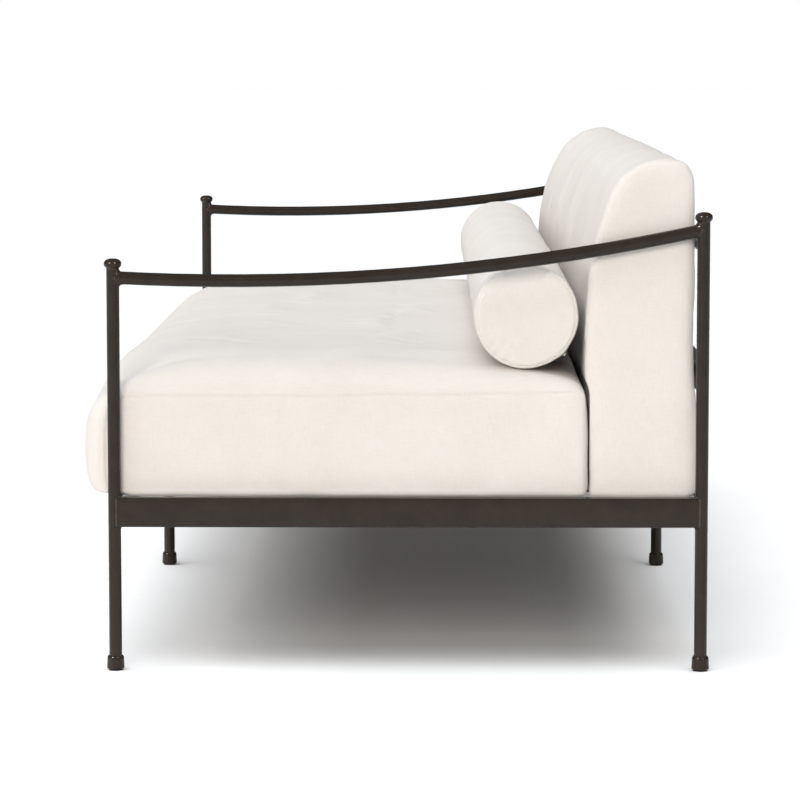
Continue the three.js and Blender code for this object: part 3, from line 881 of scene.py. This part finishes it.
    def under_bolster(co):
        """Presses the seat's crown down where the bolster lies on it."""
        axis = bolster_axis(co[:, 0])
        away = np.hypot(co[:, 1] - axis, co[:, 2] - BOLSTER_CENTRE.z)
        clear = BOLSTER_RADIUS + 1.2 * MM + 0.6 * MM * smooth_step(-co[:, 0] / 0.6)
        pressed = (away < clear) & (np.abs(co[:, 0]) < BOLSTER_END + 4 * MM)
        across = np.abs(co[:, 1] - axis)
        drop = BOLSTER_CENTRE.z - np.sqrt(np.maximum(clear**2 - across**2, 0))
        co[pressed, 2] = np.minimum(co[pressed, 2], drop[pressed])
        return co

    def seat_rear(co):
        """The seat's rear ends at the plane of contact with the back."""
        co[:, 1] = np.minimum(co[:, 1], contact)
        return co

    def back_front(co):
        """The back cushion leans on the seat below its crest, and on the bar behind."""
        rise = smooth_step((co[:, 2] - 405 * MM) / (60 * MM))
        co[:, 1] = np.maximum(co[:, 1], contact + 0.6 * MM - 20 * MM * rise)
        away = np.maximum(np.maximum(bar[0] - co[:, 2], co[:, 2] - bar[1]), 0)
        below = co[:, 2] < bar[0]
        bulge = 6 * MM * below * smooth_step(away / (25 * MM))
        co[:, 1] = np.minimum(co[:, 1], bar_front + bulge)
        return co

    for change in (corner_dip, on_deck, seat_rear, under_bolster):
        seat.reshape(change)
    for change in (on_deck, back_front):
        back.reshape(change)
    seat.place("seat", fill=0.75)
    back.place("back", fill=0.75)
    bolster.place("bolster", fill=0.8)
    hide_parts("seat_cushion")
    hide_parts("back_cushion")
    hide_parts("bolster")
    return {"seat": seat, "back": back, "bolster": bolster}


# ---- zips ----

TAPE_HALF, TAPE_UNDER, TAPE_TOP = 10.5, 0.25, 0.95  # its half width and its faces' heights, in mm
TOOTH_PITCH = 3.2  # along one row of teeth, in mm


def zip_on(cushion, key):
    """A zip sewn along a cushion: a woven tape, two rows of teeth, and a slider with its pull."""
    tape = f"{key}_zip_tape"
    slider = f"{key}_zip_slider"
    surface = BVHTree.FromObject(cushion.object, bpy.context.evaluated_depsgraph_get())
    along = Vector((1, 0, 0))
    middle = centre(tape)
    start, finish = low(tape).x, high(tape).x

    def ground(x):
        """The point of the cushion under the zip's middle line at x, and its outward side."""
        spot, normal, _, _ = surface.find_nearest(Vector((x, middle.y, middle.z)))
        outward = Vector((0, normal.y, normal.z)).normalized()
        return spot, outward

    def across(x, offset, lift):
        """A point above the cushion, offset from the zip's middle line round the surface."""
        spot, outward = ground(x)
        aside = outward.cross(along)
        near, normal, _, _ = surface.find_nearest(spot + aside * offset)
        return near + normal * lift

    stations = np.linspace(start, finish, 181)
    offsets = np.linspace(-TAPE_HALF, TAPE_HALF, 8) * MM
    rings = []
    for x in stations:
        upper = [across(x, offset, TAPE_TOP * MM) for offset in offsets]
        under = [across(x, offset, TAPE_UNDER * MM) for offset in offsets[::-1]]
        rings.append(upper + under)
    mesh = mesh_of(f"{key}_tape", *capped(rings))
    piece(f"{key}_woven_tape", mesh, TAPE, key, [tape])

    tooth_outline = ((-0.6, -0.8), (0.6, -0.8), (0.45, 2.4), (-0.45, 2.4))
    sides = [(k, (k + 1) % 4, 4 + (k + 1) % 4, 4 + k) for k in range(4)]
    tooth_faces = [(0, 3, 2, 1), (4, 5, 6, 7)] + sides
    teeth = []
    for i, x in enumerate(np.arange(start + 6 * MM, finish - 6 * MM, TOOTH_PITCH * MM / 2)):
        spot, outward = ground(x)
        aside = outward.cross(along) * (1 if i % 2 else -1)
        base = spot + outward * TAPE_TOP * MM
        corners = [
            base + along * a * MM + aside * b * MM + outward * c * MM
            for c in (-0.2, 1.0) for a, b in tooth_outline
        ]
        teeth.append((corners, tooth_faces))
    mesh = mesh_of(f"{key}_teeth", *joined(teeth))
    piece(f"{key}_zip_teeth", mesh, SLIDER, key)

    spot, outward = ground(low(slider).x)
    aside = outward.cross(along)

    def slab(outline, bottom, top):
        """A rounded plate: the outline is (along, aside) in millimetres from the slider's foot."""
        rings = []
        hub = np.mean(outline, axis=0)
        for grow, height in ((-0.35, bottom), (0, bottom + 0.3), (0, top - 0.3), (-0.35, top)):
            ring = []
            for a, b in outline:
                direction = np.array([a, b]) - hub
                shrink = 1 + grow / max(np.linalg.norm(direction), 0.1)
                a, b = hub + direction * shrink
                ring.append(spot + along * a * MM + aside * b * MM + outward * height * MM)
            rings.append(ring)
        return capped(rings)

    body = [(0, 0), (1, -3.2), (4.5, -4), (9, -3), (10.6, 0), (9, 3), (4.5, 4), (1, 3.2)]
    pull = [
        (9, 0), (10, -1.8), (16, -2.1), (22, -2.4), (24.6, 0), (22, 2.4), (16, 2.1), (10, 1.8),
    ]
    plates = [slab(loop_through(body, 4), 1.6, 3.3), slab(loop_through(pull, 4), 3.0, 4.0)]
    mesh = mesh_of(f"{key}_slider", *joined(plates))
    piece(f"{key}_slider_and_pull", mesh, SLIDER, f"{key}_zip", [slider])


# ---- the studio ----

LENS, SENSOR = 158.7, 36  # in mm
CAMERA_PLACE = (6.1964, MID_Y + 0.0420, 0.9252)
CAMERA_PITCH, CAMERA_YAW = 0.1016, 0.0104  # downwards, and away from the front, in radians
COOL = (0.91, 1.0, 1.11)
WARM = (1.0, 0.975, 0.93)
AMBIENT = 0.36  # the white surroundings, as bright as they light the daybed
MIRRORED = 0.12  # and as bright as they mirror in the frame
FLOOR_HALF = 60  # in metres
STRIP_LENGTH, STRIP_WIDTH = 2.8, 0.3


def camera():
    """The picture's own view: from the right-hand end, a little above the arm, with a long lens."""
    data = bpy.data.cameras.new("camera")
    data.sensor_width = SENSOR
    data.lens = LENS
    obj = bpy.data.objects.new("camera", data)
    level = -math.cos(CAMERA_PITCH)
    direction = Vector((
        level * math.cos(CAMERA_YAW), level * math.sin(CAMERA_YAW), -math.sin(CAMERA_PITCH)
    ))
    obj.location = CAMERA_PLACE
    obj.rotation_euler = direction.to_track_quat("-Z", "Y").to_euler()
    bpy.context.scene.collection.objects.link(obj)
    bpy.context.scene.camera = obj


def sun(name, azimuth, elevation, strength, spread, colour=(1, 1, 1), only=()):
    """A soft distant light, on some of the objects only if they are given; azimuth is measured
    from +X towards +Y."""
    data = bpy.data.lights.new(name, "SUN")
    data.energy = strength
    data.angle = math.radians(spread)
    data.color = colour
    obj = bpy.data.objects.new(name, data)
    a, e = math.radians(azimuth), math.radians(elevation)
    towards = Vector((-math.cos(e) * math.cos(a), -math.cos(e) * math.sin(a), -math.sin(e)))
    obj.rotation_euler = towards.to_track_quat("-Z", "Y").to_euler()
    bpy.context.scene.collection.objects.link(obj)
    if only:
        obj.light_linking.receiver_collection = bpy.data.collections.new(name)
        for receiver in only:
            obj.light_linking.receiver_collection.objects.link(receiver)
    return obj


def strip_light(name, y, z, power, only):
    """A long soft light beside the daybed, facing the floor at its middle."""
    data = bpy.data.lights.new(name, "AREA")
    data.shape = "RECTANGLE"
    data.size, data.size_y = STRIP_LENGTH, STRIP_WIDTH
    data.energy = power
    obj = bpy.data.objects.new(name, data)
    obj.location = (0, MID_Y + y, z)
    obj.rotation_euler = Vector((0, -y, -z)).to_track_quat("-Z", "Y").to_euler()
    obj.visible_camera = False
    bpy.context.scene.collection.objects.link(obj)
    obj.light_linking.receiver_collection = bpy.data.collections.new(name)
    obj.light_linking.receiver_collection.objects.link(only)


def floor_paper():
    """A plain pale floor."""
    corners = [(x * FLOOR_HALF, y * FLOOR_HALF, 0) for x, y in ((-1, -1), (1, -1), (1, 1), (-1, 1))]
    mesh = mesh_of("floor", corners, [(0, 1, 2, 3)])
    floor = bpy.data.objects.new("floor", mesh)
    shader = Shader("floor_paper", Specular_IOR_Level=0.1)
    tone = shader.ramp(shader.noise(3.0), [(0.2, (0.49, 0.49, 0.49)), (0.8, (0.51, 0.51, 0.51))])
    rough = shader.ramp(shader.noise(5.0), [(0.2, 0.85), (0.8, 0.95)])
    mesh.materials.append(shader.finish(tone, rough, shader.noise(200.0), 0.02 * MM))
    bpy.context.scene.collection.objects.link(floor)
    return floor


def surroundings():
    """White all round to the camera, and dimmer as a light and in reflections."""
    world = bpy.data.worlds.new("studio")
    world.use_nodes = True
    tree = world.node_tree
    ray = tree.nodes.new("ShaderNodeLightPath").outputs
    unseen = tree.nodes.new("ShaderNodeMapRange")
    unseen.inputs["To Min"].default_value = AMBIENT
    unseen.inputs["To Max"].default_value = MIRRORED
    tree.links.new(ray["Is Glossy Ray"], unseen.inputs["Value"])
    strength = tree.nodes.new("ShaderNodeMapRange")
    strength.inputs["To Max"].default_value = 1.0
    tree.links.new(unseen.outputs["Result"], strength.inputs["To Min"])
    tree.links.new(ray["Is Camera Ray"], strength.inputs["Value"])
    background = tree.nodes["Background"]
    background.inputs["Color"].default_value = (1, 1, 1, 1)
    tree.links.new(strength.outputs["Result"], background.inputs["Strength"])
    bpy.context.scene.world = world


def studio():
    """The floor, the surroundings, and soft lights on the daybed, the metal and the floor."""
    floor = floor_paper()
    surroundings()
    daybed = [obj for obj in bpy.context.scene.objects if obj.type == "MESH" and obj != floor]
    metal = [obj for obj in daybed if BRONZE.name in obj.data.materials]
    # Each sun's name, azimuth, elevation, strength and spread, and then its colour.
    sun("key", -10, 22, 2.04, 26, WARM).visible_glossy = False
    sun("overhead", -60, 78, 1.88, 60, COOL).visible_glossy = False
    sun("side", -95, 15, 0.7, 30, only=daybed).visible_glossy = False
    sun("left_wall", -50, 4, 0.45, 34, COOL, only=metal)
    sun("left_window", -42, 32, 3.2, 5, only=metal)
    sun("right_window", 38, 32, 1.8, 5, WARM, only=metal)
    sun("floor_fill", 0, 68, 3.3, 60, only=[floor])
    strip_light("floor_front", y=-0.9, z=0.66, power=13, only=floor)
    strip_light("floor_rear", y=0.8, z=0.85, power=7, only=floor)
    bpy.context.scene.view_settings.view_transform = "Standard"


# ---- everything ----

for node, obj in frame["nodes"].items():
    if node.startswith("glide"):
        finish_cad_node(node, NYLON)
    elif obj["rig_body"] == "frame":
        finish_cad_node(node, BRONZE)
for post in POSTS:
    finial(post)
    foot(post)
for leg in LEGS:
    foot(f"{leg}_middle")
frame_welds()
cushions = make_cushions()
for key, cushion in cushions.items():
    zip_on(cushion, key)
camera()
studio()
